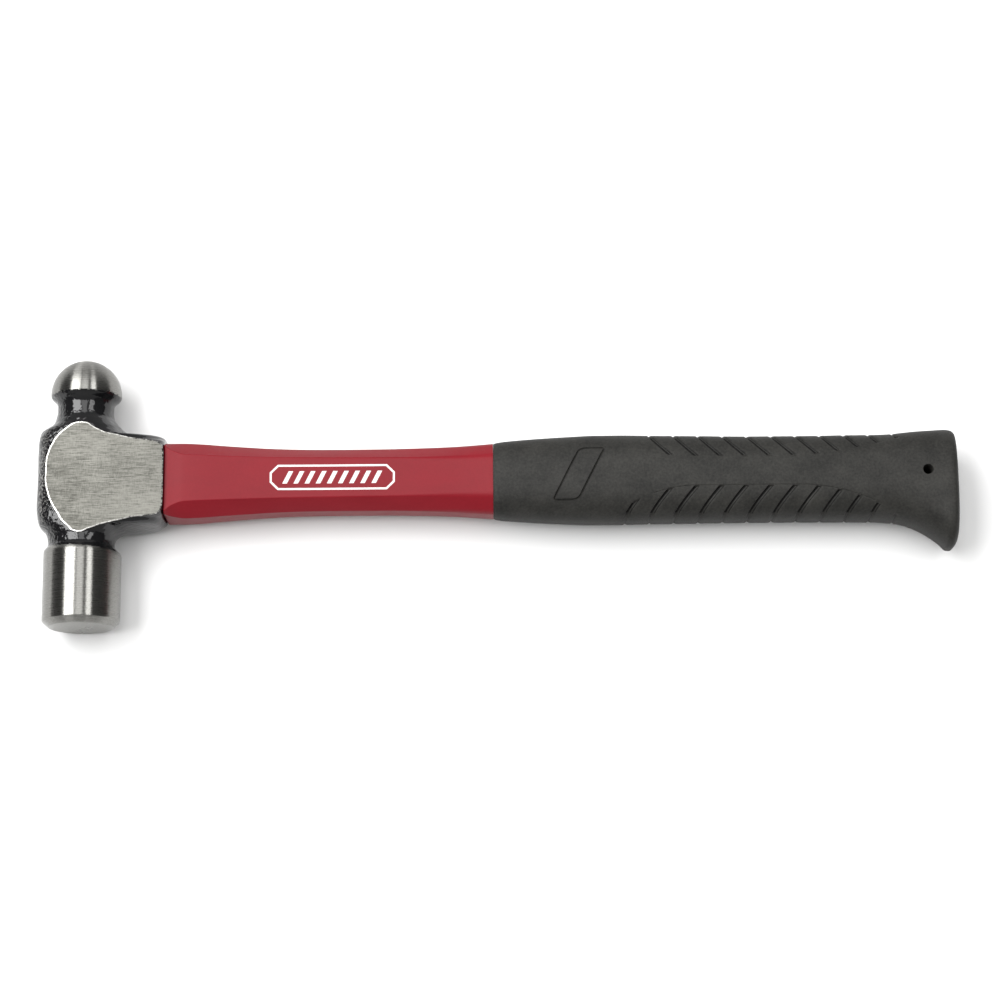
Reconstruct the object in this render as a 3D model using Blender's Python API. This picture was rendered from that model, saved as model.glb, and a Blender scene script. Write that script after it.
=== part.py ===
"""Ball peen hammer with a fibreglass-cored handle.

Built lying on its side: +X runs down the handle to the butt, +Y to the ball,
-Y to the striking face and +Z out of the upper cheek. Metres throughout.
The shapes are laid out from the point where the head's own axis crosses the
handle's axis, then shifted so the origin is the bottom centre of the bounds.
"""
import math

import bmesh
import bpy
from mathutils import Matrix

# --- overall sizes -----------------------------------------------------------
BALL_TOP = 0.04865          # handle axis to the top of the ball
FACE_DROP = 0.0553         # handle axis to the striking face
HEAD_BACK = 0.0175        # head axis to the rear of the eye body
BUTT_END = 0.3311          # head axis to the butt of the grip
POLL_RADIUS = 0.01465      # also how high the handle axis lies above the bench

SHIFT_X = -(BUTT_END - HEAD_BACK) / 2
SHIFT_Y = (FACE_DROP - BALL_TOP) / 2
SHIFT_Z = POLL_RADIUS
GAP = 0.0003               # clearance left between neighbouring pieces

# --- head --------------------------------------------------------------------
BALL_RADIUS = 0.01345
BALL_CENTRE = 0.0352
FACE_RADIUS = 0.0121      # flat of the striking face, inside its edge bevel
FACE_BEVEL = 0.0023
CHEEK_HALF = 0.0122        # half the thickness between the two ground cheeks
CHEEK_BLOCK = (0.060, 0.0475, 0.010)
SOCKET_END = 0.0313        # flat end face that the handle butts up to
HEAD_COLUMNS = 56


# Sections across the head's own axis, ball side first. Each row: height,
# reach to the rear, reach toward the handle, half thickness toward the handle
# and at the rear before the cheeks are ground, and squareness of the handle
# side and of the rear (2 = round).
HEAD_SECTIONS = [
    (0.0344, 0.01342, 0.01342, 0.01342, 0.01342, 2.0, 2.0),
    (0.0338, 0.01310, 0.01310, 0.01310, 0.01310, 2.0, 2.0),
    (0.0316, 0.01110, 0.01105, 0.01105, 0.01105, 2.0, 2.0),
    (0.0303, 0.01075, 0.01065, 0.01065, 0.01065, 2.0, 2.0),
    (0.0282, 0.01075, 0.01060, 0.01060, 0.01060, 2.0, 2.0),
    (0.0256, 0.01125, 0.01105, 0.01100, 0.01100, 2.0, 2.0),
    (0.0238, 0.01171, 0.01205, 0.01160, 0.01160, 2.1, 2.1),
    (0.0225, 0.01251, 0.01310, 0.01190, 0.01190, 2.2, 2.2),
    (0.0213, 0.01400, 0.01430, 0.01220, 0.01228, 2.3, 2.3),
    (0.0203, 0.01575, 0.01530, 0.01232, 0.01238, 2.4, 2.4),
    (0.0195, 0.01645, 0.01640, 0.01243, 0.01242, 2.5, 2.6),
    (0.0186, 0.01677, 0.01780, 0.01254, 0.01247, 2.7, 2.8),
    (0.0179, 0.01685, 0.0198, 0.01255, 0.01250, 2.9, 3.0),
    (0.0175, 0.01689, 0.0240, 0.01246, 0.01251, 3.0, 3.1),
    (0.0172, 0.01692, 0.0294, 0.01239, 0.01252, 3.0, 3.2),
    (0.0169, 0.01694, 0.0308, 0.01233, 0.01252, 3.3, 3.3),
    (0.0164, 0.01697, 0.0312, 0.01230, 0.01257, 3.8, 3.3),
    (0.0154, 0.01708, SOCKET_END, 0.01236, 0.01270, 5.0, 3.4),
    (0.0142, 0.01725, SOCKET_END, 0.01287, 0.01296, 8.0, 3.2),
    (0.0112, 0.01730, SOCKET_END, 0.01570, 0.01377, 10.0, 3.0),
    (0.0064, 0.01730, SOCKET_END, 0.01720, 0.01455, 12.0, 3.0),
    (0.0000, 0.01742, SOCKET_END, 0.01740, 0.01459, 12.0, 3.0),
    (-0.0064, HEAD_BACK, SOCKET_END, 0.01720, 0.01369, 12.0, 3.0),
    (-0.0112, 0.01738, SOCKET_END, 0.01550, 0.01288, 10.0, 3.0),
    (-0.0139, 0.01700, 0.0307, 0.01440, 0.01249, 8.0, 3.1),
    (-0.0154, 0.01664, 0.0298, 0.01238, 0.01236, 5.0, 3.2),
    (-0.0163, 0.01640, 0.0293, 0.01237, 0.01234, 4.0, 3.0),
    (-0.0168, 0.01618, 0.0287, 0.01237, 0.01234, 3.4, 2.9),
    (-0.0171, 0.01598, 0.0270, 0.01243, 0.01234, 3.1, 2.8),
    (-0.0174, 0.01576, 0.0228, 0.01253, 0.01234, 3.0, 2.7),
    (-0.0179, 0.01528, 0.0176, 0.01277, 0.01234, 2.8, 2.6),
    (-0.0188, 0.01430, 0.01510, 0.01262, 0.01232, 2.5, 2.4),
    (-0.0200, 0.01365, 0.01350, 0.01220, 0.01226, 2.3, 2.2),
    (-0.0215, 0.01320, 0.01245, 0.01200, 0.01200, 2.1, 2.0),
    (-0.0232, 0.01305, 0.01200, 0.01200, 0.01200, 2.0, 2.0),
    (-0.0244, 0.01315, 0.01200, 0.01235, 0.01235, 2.0, 2.0),
    (-0.0254, 0.01385, 0.01270, 0.01320, 0.01320, 2.0, 2.0),
    (-0.0262, 0.01445, 0.01350, 0.01400, 0.01400, 2.0, 2.0),
    (-0.0272, POLL_RADIUS, 0.01440, 0.01455, 0.01455, 2.0, 2.0),
    (-0.0280, POLL_RADIUS, POLL_RADIUS, POLL_RADIUS, POLL_RADIUS, 2.0, 2.0),
    (-0.0400, POLL_RADIUS, POLL_RADIUS, POLL_RADIUS, POLL_RADIUS, 2.0, 2.0),
    (-(FACE_DROP - FACE_BEVEL), POLL_RADIUS, POLL_RADIUS, POLL_RADIUS, POLL_RADIUS, 2.0, 2.0),
    (-FACE_DROP, FACE_RADIUS, FACE_RADIUS, FACE_RADIUS, FACE_RADIUS, 2.0, 2.0),
]
BALL_ROWS = 12

# Oval eye through the head along the handle, slightly wider at the rear.
EYE_REAR_HALF = 0.0120     # half height at the rear
EYE_FRONT_HALF = 0.0112    # half height at the end that faces the handle
EYE_ASPECT = 1.5           # height over width
EPOXY_START = -0.0154      # the bond stops a little short of the rear surface
OVAL_COLUMNS = 40

# --- handle ------------------------------------------------------------------
CORE_HALF = 0.0080         # half height of the oval core
CORE_ASPECT = 1.65
CORE_START = -0.0158
CORE_END = 0.3110

# Eight-sided jacket. Each row: distance from the head axis, half height, half
# thickness, half width of the broad flat, half width of the narrow flat.
JACKET_SECTIONS = [
    (SOCKET_END + GAP, 0.01370, 0.01040, 0.01280, 0.00905),
    (0.0330, 0.01400, 0.01045, 0.01150, 0.00770),
    (0.0355, 0.01432, 0.01055, 0.01010, 0.00640),
    (0.0388, 0.01458, 0.01068, 0.00910, 0.00540),
    (0.0440, 0.01440, 0.01060, 0.00880, 0.00520),
    (0.0520, 0.01380, 0.01030, 0.00850, 0.00490),
    (0.0620, 0.01310, 0.00990, 0.00815, 0.00460),
    (0.0730, 0.01245, 0.00960, 0.00790, 0.00440),
    (0.0847, 0.01210, 0.00940, 0.00770, 0.00430),
    (0.1000, 0.01200, 0.00930, 0.00755, 0.00425),
    (0.1150, 0.01205, 0.00930, 0.00745, 0.00430),
    (0.1290, 0.01235, 0.00945, 0.00735, 0.00445),
    (0.1400, 0.01280, 0.00965, 0.00735, 0.00470),
    (0.1490, 0.01340, 0.01000, 0.00745, 0.00510),
    (0.1553, 0.01385, 0.01035, 0.00760, 0.00545),
]
SPIGOT_HALF = (0.0106, 0.0076)     # reduced end of the jacket inside the grip
SPIGOT_FLATS = (0.0062, 0.0036)
SPIGOT_END = 0.1720

# --- grip --------------------------------------------------------------------
GRIP_START = 0.1556
# Each row: distance from the head axis, reach up, reach down, half thickness.
GRIP_SECTIONS = [
    (GRIP_START, 0.01405, 0.01405, 0.01070),
    (0.1564, 0.01440, 0.01445, 0.01105),
    (0.1590, 0.01482, 0.01490, 0.01140),
    (0.1640, 0.01530, 0.01530, 0.01180),
    (0.1710, 0.01580, 0.01580, 0.01225),
    (0.1780, 0.01620, 0.01620, 0.01260),
    (0.1850, 0.01655, 0.01655, 0.01290),
    (0.1930, 0.01690, 0.01680, 0.01315),
    (0.2010, 0.01695, 0.01680, 0.01325),
    (0.2150, 0.01670, 0.01660, 0.01330),
    (0.2340, 0.01640, 0.01650, 0.01330),
    (0.2530, 0.01610, 0.01635, 0.01330),
    (0.2760, 0.01610, 0.01640, 0.01330),
    (0.2910, 0.01625, 0.01660, 0.01335),
    (0.3000, 0.01625, 0.01665, 0.01345),
    (0.3063, 0.01645, 0.01710, 0.01365),
    (0.3110, 0.01695, 0.01800, 0.01385),
    (0.3150, 0.01735, 0.01945, 0.01405),
    (0.3190, 0.01765, 0.02155, 0.01425),
    (0.3225, 0.01785, 0.02395, 0.01445),
    (0.3250, 0.01800, 0.02600, 0.01460),
    (0.3270, 0.01810, 0.02795, POLL_RADIUS),
    (0.3283, 0.01800, 0.02805, 0.01460),
    (0.3295, 0.01770, 0.02710, 0.01420),
    (0.3302, 0.01735, 0.02610, 0.01340),
    (0.3307, 0.01680, 0.02460, 0.01220),
    (0.33095, 0.01580, 0.02220, 0.01020),
    (BUTT_END, 0.01380, 0.01640, 0.00700),
]
GRIP_SQUARENESS = 2.6
GRIP_COLUMNS = 48
HANG_X = 0.3191            # hang hole, on the handle axis
HANG_RADIUS = 0.0018

# Chevron grooves that run round both edges of the grip and stop short of its
# middle. Positions are those where a groove crosses the edge.
GROOVE_FIRST = 0.2055
GROOVE_PITCH = 0.00924
GROOVE_COUNT = 12
GROOVE_LEAN = (0.86, 0.74) # upper, lower: travel toward the butt per unit of height
GROOVE_EDGE = 0.0164       # height at which the positions are given
GROOVE_WIDTH = 0.0015
GROOVE_DEPTH = 0.0007
GROOVE_INNER = 0.0053      # plain strip left along the middle, half height
GROOVE_STEPS = 12


def material(name, colour, metallic, roughness):
    mat = bpy.data.materials.new(name)
    mat.use_nodes = True
    shader = mat.node_tree.nodes["Principled BSDF"]
    shader.inputs["Base Color"].default_value = (*colour, 1.0)
    shader.inputs["Metallic"].default_value = metallic
    shader.inputs["Roughness"].default_value = roughness
    mat.diffuse_color = (*colour, 1.0)
    return mat


def add_object(name, mesh, collection, mat=None):
    """New object in the hammer's layout, which the empty carries into place."""
    obj = bpy.data.objects.new(name, mesh)
    collection.objects.link(obj)
    obj.parent = layout
    if mat:
        mesh.materials.append(mat)
    return obj


def add_cutter(name, mesh):
    obj = add_object(name, mesh, tools)
    obj.hide_render = True
    obj.display_type = "WIRE"
    return obj


def cut(body, tool):
    mod = body.modifiers.new("cut_" + tool.name, "BOOLEAN")
    mod.operation = "DIFFERENCE"
    mod.solver = "EXACT"
    mod.object = tool


def shade(mesh):
    mesh.shade_smooth()
    mesh.set_sharp_from_angle(angle=math.radians(32))
    return mesh


def signed_power(value, power):
    return math.copysign(abs(value) ** power, value)


def loft(name, rings):
    """Closed mesh through equal rings of points, flat at both ends."""
    columns = len(rings[0])
    faces = []
    for r in range(len(rings) - 1):
        a, b = r * columns, (r + 1) * columns
        for c in range(columns):
            d = (c + 1) % columns
            faces.append((a + c, a + d, b + d, b + c))
    last = (len(rings) - 1) * columns
    faces.append(tuple(reversed(range(columns))))
    faces.append(tuple(range(last, last + columns)))
    mesh = bpy.data.meshes.new(name)
    mesh.from_pydata([point for ring in rings for point in ring], [], faces)
    return shade(mesh)


def oval_bar(name, start, end, half_start, half_end, aspect):
    """Straight oval bar along X, from a cone whose circle is squashed."""
    bm = bmesh.new()
    squash = Matrix.Diagonal((1.0, 1.0, 1.0 / aspect, 1.0))
    along_x = Matrix.Rotation(math.radians(90), 4, "Y")
    centre = Matrix.Translation(((start + end) / 2, 0.0, 0.0))
    bmesh.ops.create_cone(bm, cap_ends=True, segments=OVAL_COLUMNS,
                          radius1=half_start, radius2=half_end,
                          depth=end - start, matrix=centre @ squash @ along_x)
    mesh = bpy.data.meshes.new(name)
    bm.to_mesh(mesh)
    bm.free()
    return shade(mesh)


def head_ring(height, rear, front, half, rear_half, front_square, rear_square):
    """Section of the head: rounded at the rear, squarer toward the handle."""
    ring = []
    for i in range(HEAD_COLUMNS):
        angle = 2 * math.pi * i / HEAD_COLUMNS
        c, s = math.cos(angle), math.sin(angle)
        reach, power = (front, front_square) if c > 0 else (rear, rear_square)
        thick = rear_half + (half - rear_half) * min(1.0, max(0.0, c / 0.35))
        rho = (abs(c / reach) ** power + abs(s / thick) ** power) ** (-1 / power)
        ring.append((rho * c, height, rho * s))
    return ring


def octagon_ring(x, half_y, half_z, broad, narrow):
    """Eight-sided section: broad flats top and bottom, narrow flats at the sides."""
    return [(x, half_y, narrow), (x, broad, half_z), (x, -broad, half_z),
            (x, -half_y, narrow), (x, -half_y, -narrow), (x, -broad, -half_z),
            (x, broad, -half_z), (x, half_y, -narrow)]


def grip_ring(x, up, down, half):
    """Superellipse section of the grip, off centre where the butt flares."""
    ring = []
    for i in range(GRIP_COLUMNS):
        angle = 2 * math.pi * i / GRIP_COLUMNS
        y = (up + down) / 2 * signed_power(math.cos(angle), 2 / GRIP_SQUARENESS)
        z = half * signed_power(math.sin(angle), 2 / GRIP_SQUARENESS)
        ring.append((x, (up - down) / 2 + y, z))
    return ring


def eye_half(x, clearance=0.0):
    """Half height of the eye at a distance from the head axis."""
    slope = (EYE_FRONT_HALF - EYE_REAR_HALF) / (SOCKET_END + HEAD_BACK)
    return EYE_REAR_HALF + slope * (x + HEAD_BACK) - clearance


def grip_section(x):
    """Reach up, reach down and half thickness of the grip, between its rows."""
    for low, high in zip(GRIP_SECTIONS, GRIP_SECTIONS[1:]):
        if x <= high[0]:
            t = (x - low[0]) / (high[0] - low[0])
            return [a + t * (b - a) for a, b in zip(low[1:], high[1:])]
    return list(GRIP_SECTIONS[-1][1:])


def groove_inner(x):
    """Half height of the plain middle strip, which widens at both ends."""
    if x < 0.233:
        return GROOVE_INNER + 0.0043 * ((0.233 - x) / 0.021) ** 2
    if x > 0.270:
        return GROOVE_INNER + 0.0070 * ((x - 0.270) / 0.031) ** 2
    return GROOVE_INNER


def groove_rings(edge_x, side):
    """Three-cornered sections of one groove, face to face round one edge."""
    lean = GROOVE_LEAN[0] if side > 0 else GROOVE_LEAN[1]

    def along(height):
        return edge_x + lean * (GROOVE_EDGE - height)

    inner = GROOVE_EDGE
    while inner > groove_inner(along(inner)) and inner > 0:
        inner -= 0.0001
    up, down, half = grip_section(along(inner))
    middle, reach = (up - down) / 2 * side, (up + down) / 2
    start = math.acos(min(1.0, (inner - middle) / reach) ** (GRIP_SQUARENESS / 2))
    rings = []
    for i in range(GROOVE_STEPS + 1):
        angle = start * (1 - 2 * i / GROOVE_STEPS)
        height = reach * signed_power(math.cos(angle), 2 / GRIP_SQUARENESS) + middle
        up, down, half = grip_section(along(height))
        middle, reach = (up - down) / 2 * side, (up + down) / 2
        height = reach * signed_power(math.cos(angle), 2 / GRIP_SQUARENESS)
        depth_z = half * signed_power(math.sin(angle), 2 / GRIP_SQUARENESS)
        slope_y = abs(height / reach) ** (GRIP_SQUARENESS - 1) / reach
        slope_z = abs(depth_z / half) ** (GRIP_SQUARENESS - 1) / half
        length = math.hypot(slope_y, slope_z)
        out = (slope_y / length, math.copysign(slope_z / length, angle))
        x = along(height + middle)
        ring = []
        for shift, lift in ((0.0, -GROOVE_DEPTH), (GROOVE_WIDTH, GROOVE_DEPTH),
                            (-GROOVE_WIDTH, GROOVE_DEPTH)):
            ring.append((x + shift, side * (height + middle + lift * out[0]),
                         depth_z + lift * out[1]))
        rings.append(ring)
    return rings


for old in list(bpy.data.objects):
    bpy.data.objects.remove(old, do_unlink=True)

parts = bpy.data.collections.new("ball_peen_hammer")
tools = bpy.data.collections.new("cutters")
for group in (parts, tools):
    bpy.context.scene.collection.children.link(group)

layout = bpy.data.objects.new("hammer_layout", None)
layout.location = (SHIFT_X, SHIFT_Y, SHIFT_Z)
parts.objects.link(layout)

steel = material("forged_steel", (0.55, 0.55, 0.54), 1.0, 0.25)
glass = material("fibreglass", (0.82, 0.78, 0.62), 0.0, 0.45)
resin = material("cured_epoxy", (0.18, 0.17, 0.15), 0.0, 0.35)
plastic = material("red_jacket", (0.40, 0.045, 0.055), 0.0, 0.42)
rubber = material("grip_rubber", (0.055, 0.054, 0.052), 0.0, 0.7)

# Head: half sphere for the ball, then the sections down to the striking face.
ball = [(BALL_TOP, *(BALL_RADIUS * math.sin(math.radians(4)),) * 4, 2.0, 2.0)]
for i in range(1, BALL_ROWS):
    angle = math.radians(4 + 86 * i / (BALL_ROWS - 1))
    ball.append((BALL_CENTRE + BALL_RADIUS * math.cos(angle),
                 *(BALL_RADIUS * math.sin(angle),) * 4, 2.0, 2.0))
head = add_object("hammer_head", loft(
    "hammer_head", [head_ring(*row) for row in ball + HEAD_SECTIONS]), parts, steel)

# The two cheeks are ground flat, short of the ball and short of the poll.
bpy.ops.mesh.primitive_cube_add(size=1)
cube = bpy.context.object
cheek_block = cube.data
bpy.data.objects.remove(cube)
cheek_block.transform(Matrix.Diagonal((*CHEEK_BLOCK, 1.0)))
for side, label in ((1, "upper"), (-1, "lower")):
    grind = add_cutter(f"cheek_grind_{label}", cheek_block)
    grind.location = (0.0070, 0.0015, side * (CHEEK_HALF + CHEEK_BLOCK[2] / 2))
    cut(head, grind)

# The eye runs right through the head along the handle.
cut(head, add_cutter("eye_bore", oval_bar("eye_bore", -0.022, 0.036, eye_half(-0.022),
                                          eye_half(0.036), EYE_ASPECT)))

# Cured bond that fills the eye around the core.
core_bore = oval_bar("core_bore", -0.022, CORE_END + GAP, CORE_HALF + GAP,
                     CORE_HALF + GAP, CORE_ASPECT)
epoxy = add_object("eye_epoxy", oval_bar(
    "eye_epoxy", EPOXY_START, SOCKET_END, eye_half(EPOXY_START, GAP),
    eye_half(SOCKET_END, GAP), EYE_ASPECT), parts, resin)
bore = add_cutter("core_bore", core_bore)
cut(epoxy, bore)

# Pultruded core, from the rear of the eye to just short of the hang hole.
core = add_object("handle_core", oval_bar("handle_core", CORE_START, CORE_END, CORE_HALF,
                                          CORE_HALF, CORE_ASPECT), parts, glass)

# Red jacket, with a reduced end that the grip covers.
rings = [octagon_ring(*row) for row in JACKET_SECTIONS]
for x in (JACKET_SECTIONS[-1][0], SPIGOT_END):
    rings.append(octagon_ring(x, *SPIGOT_HALF, *SPIGOT_FLATS))
jacket = add_object("handle_jacket", loft("handle_jacket", rings), parts, plastic)
cut(jacket, bore)

# Rubber grip with a flared butt, and its blind socket for jacket and core.
grip = add_object("grip", loft("grip", [grip_ring(*row) for row in GRIP_SECTIONS]),
                  parts, rubber)
rings = [octagon_ring(x, *(half + GAP for half in SPIGOT_HALF),
                      *(half + GAP for half in SPIGOT_FLATS))
         for x in (GRIP_START - 0.010, SPIGOT_END + GAP)]
cut(grip, add_cutter("grip_mouth", loft("grip_mouth", rings)))
cut(grip, bore)

# Hang hole through the flared butt.
bpy.ops.mesh.primitive_cylinder_add(vertices=24, radius=HANG_RADIUS, depth=0.05)
drill = bpy.context.object
hang_hole = add_cutter("hang_hole", drill.data)
hang_hole.location = (HANG_X, 0.0, 0.0)
bpy.data.objects.remove(drill)
cut(grip, hang_hole)

# Chevron grooves, one cutter for each crossing of an edge. The upper edge
# starts one groove later than the lower.
for side, label, first in ((1, "upper", 1), (-1, "lower", 0)):
    for i in range(first, GROOVE_COUNT):
        rings = groove_rings(GROOVE_FIRST + i * GROOVE_PITCH, side)
        if side > 0:
            rings = [list(reversed(ring)) for ring in rings]
        name = f"groove_{label}_{i + 1}"
        cut(grip, add_cutter(name, loft(name, rings)))
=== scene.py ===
"""Ball peen hammer: the visual model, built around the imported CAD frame."""

import math

import bmesh
import bpy
import numpy as np
from mathutils import Matrix, Vector


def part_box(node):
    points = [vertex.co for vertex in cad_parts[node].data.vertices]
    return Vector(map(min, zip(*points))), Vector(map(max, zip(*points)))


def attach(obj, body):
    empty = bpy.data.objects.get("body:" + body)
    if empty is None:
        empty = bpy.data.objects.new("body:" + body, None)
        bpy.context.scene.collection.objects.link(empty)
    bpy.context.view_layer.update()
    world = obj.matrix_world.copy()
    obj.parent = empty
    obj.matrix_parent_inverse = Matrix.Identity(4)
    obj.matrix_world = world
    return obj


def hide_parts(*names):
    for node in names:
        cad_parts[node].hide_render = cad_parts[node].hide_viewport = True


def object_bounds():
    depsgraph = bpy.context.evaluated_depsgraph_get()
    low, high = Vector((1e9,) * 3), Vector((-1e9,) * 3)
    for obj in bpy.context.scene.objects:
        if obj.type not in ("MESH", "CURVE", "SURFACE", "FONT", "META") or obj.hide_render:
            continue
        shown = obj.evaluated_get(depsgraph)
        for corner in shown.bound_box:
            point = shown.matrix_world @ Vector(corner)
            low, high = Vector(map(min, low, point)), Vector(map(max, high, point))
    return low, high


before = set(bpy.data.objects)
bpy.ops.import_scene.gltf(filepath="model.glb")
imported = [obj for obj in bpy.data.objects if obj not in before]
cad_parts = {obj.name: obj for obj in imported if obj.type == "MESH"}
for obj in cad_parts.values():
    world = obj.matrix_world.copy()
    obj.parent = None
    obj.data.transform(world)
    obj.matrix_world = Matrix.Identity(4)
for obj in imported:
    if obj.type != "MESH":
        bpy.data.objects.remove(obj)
cad_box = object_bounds()

# --- layout: the same driving sizes as the CAD, from where the head's axis
# crosses the handle's axis --------------------------------------------------
BALL_TOP = 0.04865
BALL_RADIUS = 0.01345
BALL_CENTRE = 0.0352
POLL_RADIUS = 0.01465
FACE_DROP = 0.0553
FACE_RADIUS = 0.0121
FACE_BEVEL = 0.0023
HEAD_BACK = 0.0175
SOCKET_END = 0.0313
CHEEK_HALF = 0.0122
BUTT_END = 0.3311
GAP = 0.0003

head_low, head_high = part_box("hammer_head")
ORIGIN = Vector((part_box("grip")[1].x - BUTT_END, head_high.y - BALL_TOP,
                 (head_low.z + head_high.z) / 2))

# height, reach to the rear, reach to the handle, half thickness toward the handle
# and at the rear, squareness of the handle side and of the rear
HEAD_SECTIONS = [
    (0.0344, 0.01342, 0.01342, 0.01342, 0.01342, 2.0, 2.0),
    (0.0338, 0.01310, 0.01310, 0.01310, 0.01310, 2.0, 2.0),
    (0.0316, 0.01110, 0.01105, 0.01105, 0.01105, 2.0, 2.0),
    (0.0303, 0.01075, 0.01065, 0.01065, 0.01065, 2.0, 2.0),
    (0.0282, 0.01075, 0.01060, 0.01060, 0.01060, 2.0, 2.0),
    (0.0256, 0.01125, 0.01105, 0.01100, 0.01100, 2.0, 2.0),
    (0.0238, 0.01171, 0.01205, 0.01160, 0.01160, 2.1, 2.1),
    (0.0225, 0.01251, 0.01310, 0.01190, 0.01190, 2.2, 2.2),
    (0.0213, 0.01400, 0.01430, 0.01220, 0.01228, 2.3, 2.3),
    (0.0203, 0.01575, 0.01530, 0.01232, 0.01238, 2.4, 2.4),
    (0.0195, 0.01645, 0.01640, 0.01243, 0.01242, 2.5, 2.6),
    (0.0186, 0.01677, 0.01780, 0.01254, 0.01247, 2.7, 2.8),
    (0.0179, 0.01685, 0.0198, 0.01255, 0.01250, 2.9, 3.0),
    (0.0175, 0.01689, 0.0240, 0.01246, 0.01251, 3.0, 3.1),
    (0.0172, 0.01692, 0.0294, 0.01239, 0.01252, 3.0, 3.2),
    (0.0169, 0.01694, 0.0308, 0.01233, 0.01252, 3.3, 3.3),
    (0.0164, 0.01697, 0.0312, 0.01230, 0.01257, 3.8, 3.3),
    (0.0154, 0.01708, SOCKET_END, 0.01236, 0.01270, 5.0, 3.4),
    (0.0142, 0.01725, SOCKET_END, 0.01287, 0.01296, 8.0, 3.2),
    (0.0112, 0.01730, SOCKET_END, 0.01570, 0.01377, 10.0, 3.0),
    (0.0064, 0.01730, SOCKET_END, 0.01720, 0.01455, 12.0, 3.0),
    (0.0000, 0.01742, SOCKET_END, 0.01740, 0.01459, 12.0, 3.0),
    (-0.0064, HEAD_BACK, SOCKET_END, 0.01720, 0.01369, 12.0, 3.0),
    (-0.0112, 0.01738, SOCKET_END, 0.01550, 0.01288, 10.0, 3.0),
    (-0.0139, 0.01700, 0.0307, 0.01440, 0.01249, 8.0, 3.1),
    (-0.0154, 0.01664, 0.0298, 0.01238, 0.01236, 5.0, 3.2),
    (-0.0163, 0.01640, 0.0293, 0.01237, 0.01234, 4.0, 3.0),
    (-0.0168, 0.01618, 0.0287, 0.01237, 0.01234, 3.4, 2.9),
    (-0.0171, 0.01598, 0.0270, 0.01243, 0.01234, 3.1, 2.8),
    (-0.0174, 0.01576, 0.0228, 0.01253, 0.01234, 3.0, 2.7),
    (-0.0179, 0.01528, 0.0176, 0.01277, 0.01234, 2.8, 2.6),
    (-0.0188, 0.01430, 0.01510, 0.01262, 0.01232, 2.5, 2.4),
    (-0.0200, 0.01365, 0.01350, 0.01220, 0.01226, 2.3, 2.2),
    (-0.0215, 0.01320, 0.01245, 0.01200, 0.01200, 2.1, 2.0),
    (-0.0232, 0.01305, 0.01200, 0.01200, 0.01200, 2.0, 2.0),
    (-0.0244, 0.01315, 0.01200, 0.01235, 0.01235, 2.0, 2.0),
    (-0.0254, 0.01385, 0.01270, 0.01320, 0.01320, 2.0, 2.0),
    (-0.0262, 0.01445, 0.01350, 0.01400, 0.01400, 2.0, 2.0),
    (-0.0272, POLL_RADIUS, 0.01440, 0.01455, 0.01455, 2.0, 2.0),
    (-0.0280, POLL_RADIUS, POLL_RADIUS, POLL_RADIUS, POLL_RADIUS, 2.0, 2.0),
]
HEAD_COLUMNS = 240
HEAD_STEP = 0.00042
POLISHED, LACQUERED, GROUND, EYE_WALL, GROUND_EDGE = range(5)   # material slots
POLISH_TOP = 0.0343             # the lacquer starts below the ball's equator
CHEEK_REGION = (-0.0225, 0.0250)
CHEEK_RIM_DROP = 0.00011
CHEEK_RIM_WIDTH = 0.00042
CHEEK_RIM_MERGE = 0.00006

EYE_REAR_HALF = 0.0120
EYE_FRONT_HALF = 0.0112
EYE_ASPECT = 1.5
EPOXY_START = -0.0154
CORE_HALF = 0.0080
CORE_ASPECT = 1.65
CORE_START = -0.0158
CORE_END = 0.3110

# distance from the head axis, half height, half thickness, broad flat, narrow flat
JACKET_SECTIONS = [
    (SOCKET_END + GAP, 0.01370, 0.01040, 0.01280, 0.00905),
    (0.0330, 0.01400, 0.01045, 0.01150, 0.00770),
    (0.0355, 0.01432, 0.01055, 0.01010, 0.00640),
    (0.0388, 0.01458, 0.01068, 0.00910, 0.00540),
    (0.0440, 0.01440, 0.01060, 0.00880, 0.00520),
    (0.0520, 0.01380, 0.01030, 0.00850, 0.00490),
    (0.0620, 0.01310, 0.00990, 0.00815, 0.00460),
    (0.0730, 0.01245, 0.00960, 0.00790, 0.00440),
    (0.0847, 0.01210, 0.00940, 0.00770, 0.00430),
    (0.1000, 0.01200, 0.00930, 0.00755, 0.00425),
    (0.1150, 0.01205, 0.00930, 0.00745, 0.00430),
    (0.1290, 0.01235, 0.00945, 0.00735, 0.00445),
    (0.1400, 0.01280, 0.00965, 0.00735, 0.00470),
    (0.1490, 0.01340, 0.01000, 0.00745, 0.00510),
    (0.1553, 0.01385, 0.01035, 0.00760, 0.00545),
]
JACKET_STEP = 0.0009
SPIGOT_HALF = (0.0106, 0.0076)
SPIGOT_FLATS = (0.0062, 0.0036)
SPIGOT_END = 0.1720

GRIP_START = 0.1556
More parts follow.
